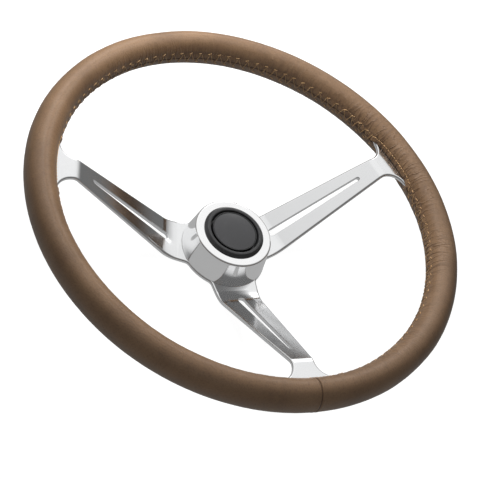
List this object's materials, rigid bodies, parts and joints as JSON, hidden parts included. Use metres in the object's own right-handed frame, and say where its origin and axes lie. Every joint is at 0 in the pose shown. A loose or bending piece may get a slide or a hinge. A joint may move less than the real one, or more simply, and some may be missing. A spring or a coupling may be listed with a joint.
{
  "type": "steering wheel",
  "caption": "Dished steering wheel with slotted polished aluminium spokes, a stitched leather rim, a conical hub cover and a central horn button.",
  "frame": {"origin": "centre of the column bore on the back face of the hub disc, where the wheel seats on its adapter", "axes": "+Z along the steering axis towards the driver, +Y to twelve o'clock, +X to three o'clock as the driver sees it"},
  "size_m": [0.4, 0.4, 0.081],
  "materials": {
    "spider": "polished",
    "core": "moulded foam skin",
    "leather": "fine grain, satin",
    "cover": "turned and polished",
    "steel": "zinc plated",
    "housing": "satin moulded",
    "cap": "gloss",
    "disc": "high gloss",
    "brass": "stamped",
    "base": "moulded"
  },
  "bodies": {
    "wheel": {"spoke_spider": "spider", "rim_core": "core", "leather_cover": "leather", "hub_cover": "cover", "cover_screws": "steel", "button_housing": "housing", "base_plate": "base", "fixed_contact": "brass", "spring_seat": "brass", "return_spring": "steel", "horn_terminal": "brass", "feed_terminal": "brass"},
    "horn_cap": {"button_cap": "cap", "cap_disc": "disc", "moving_contact": "brass"}
  },
  "joints": [
    {"name": "horn_press", "type": "slide", "parent": "wheel", "child": "horn_cap", "axis": [0, 0, 1], "range_m": [-0.0025, 0], "stiffness_N_per_m": 2500, "springref_m": 0.002, "deforming": ["return_spring"]}
  ]
}
